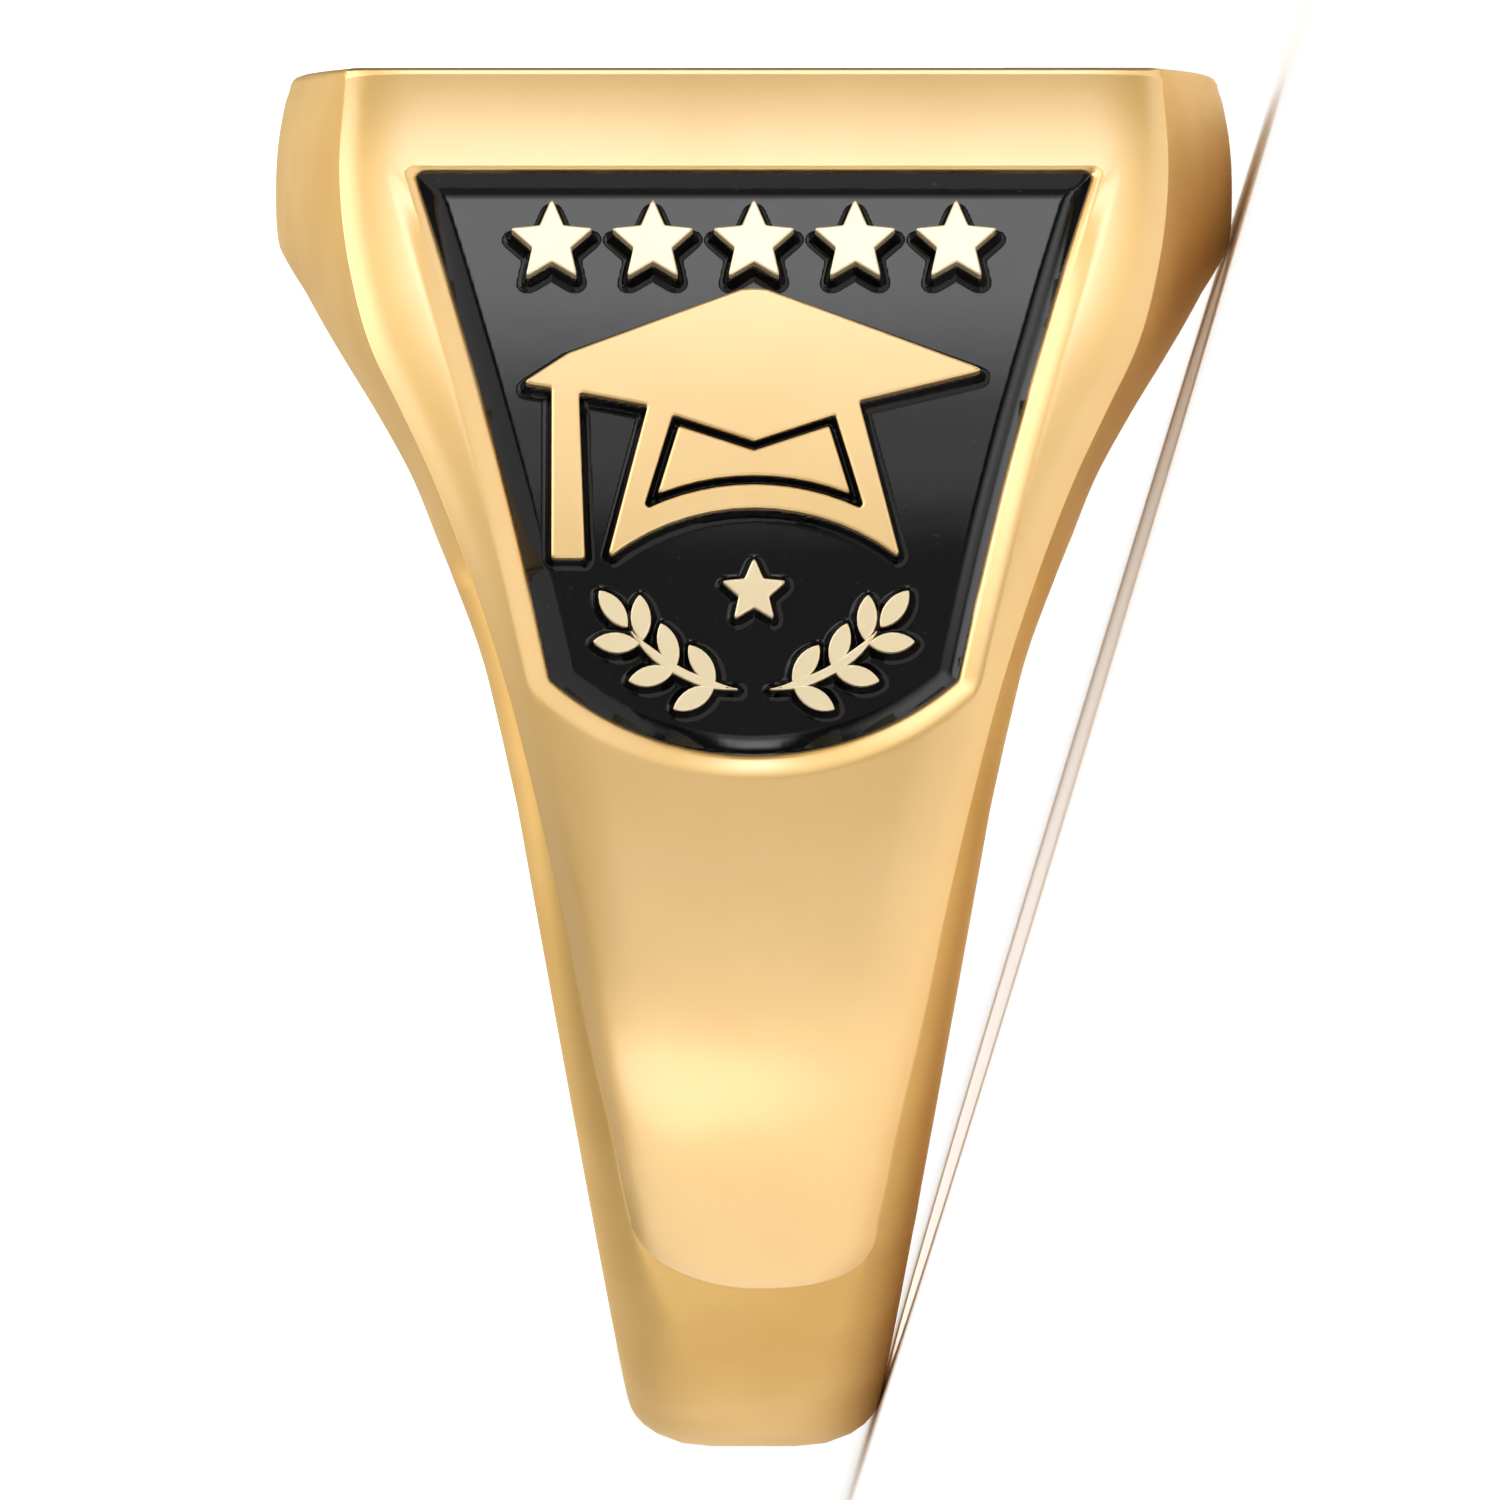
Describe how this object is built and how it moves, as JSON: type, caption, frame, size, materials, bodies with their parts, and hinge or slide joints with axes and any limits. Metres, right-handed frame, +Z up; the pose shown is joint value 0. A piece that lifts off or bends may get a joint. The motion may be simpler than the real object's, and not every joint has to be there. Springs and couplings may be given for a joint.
{
  "type": "class ring",
  "caption": "Cast gold-coloured signet class ring with sunk shoulder panels of black enamel round raised figures, lying on its side.",
  "frame": {"origin": "middle of the finger hole, on its axis", "axes": "+X towards the head, +Y towards the far shoulder, +Z up, with the ring lying on its side on a table; the finger hole leans from +Z towards -X by the resting angle"},
  "size_m": [0.0264, 0.0234, 0.0171],
  "materials": {
    "gold": "polished gold plate, satin on the side walls and the palm side",
    "enamel": "glossy black cold enamel"
  },
  "bodies": {
    "root": {"ring_body": "gold", "enamel_near": "enamel", "enamel_near_crown_line": "enamel", "enamel_far": "enamel", "enamel_far_crown_line": "enamel"}
  },
  "joints": []
}
